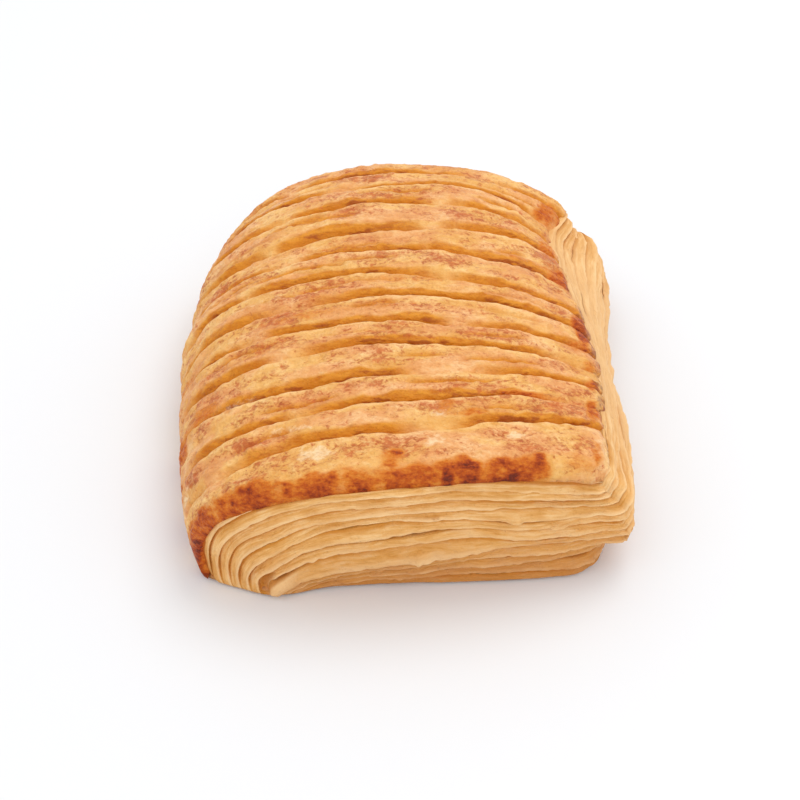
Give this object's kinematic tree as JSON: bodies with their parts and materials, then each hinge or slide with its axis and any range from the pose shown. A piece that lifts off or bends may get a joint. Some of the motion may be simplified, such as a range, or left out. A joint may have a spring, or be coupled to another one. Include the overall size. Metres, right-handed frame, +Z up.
{
  "type": "spanakopita",
  "caption": "Whole baked puff pastry parcel with a slit, domed golden lid, a rounded fold along one side and stepped dough layers at its open side and both ends.",
  "frame": {"origin": "under the middle of the pastry's box, on the surface that it rests on", "axes": "+Z up, +X from the folded side towards the open side, +Y from the front end towards the back end"},
  "size_m": [0.1262, 0.1523, 0.0457],
  "materials": {
    "crust": "baked puff pastry: egg-washed golden lid with red-brown freckles and a toasted front edge, pale straw-coloured dough layers on the cut faces, soft satin sheen"
  },
  "bodies": {
    "root": {"pastry": "crust"}
  },
  "joints": []
}
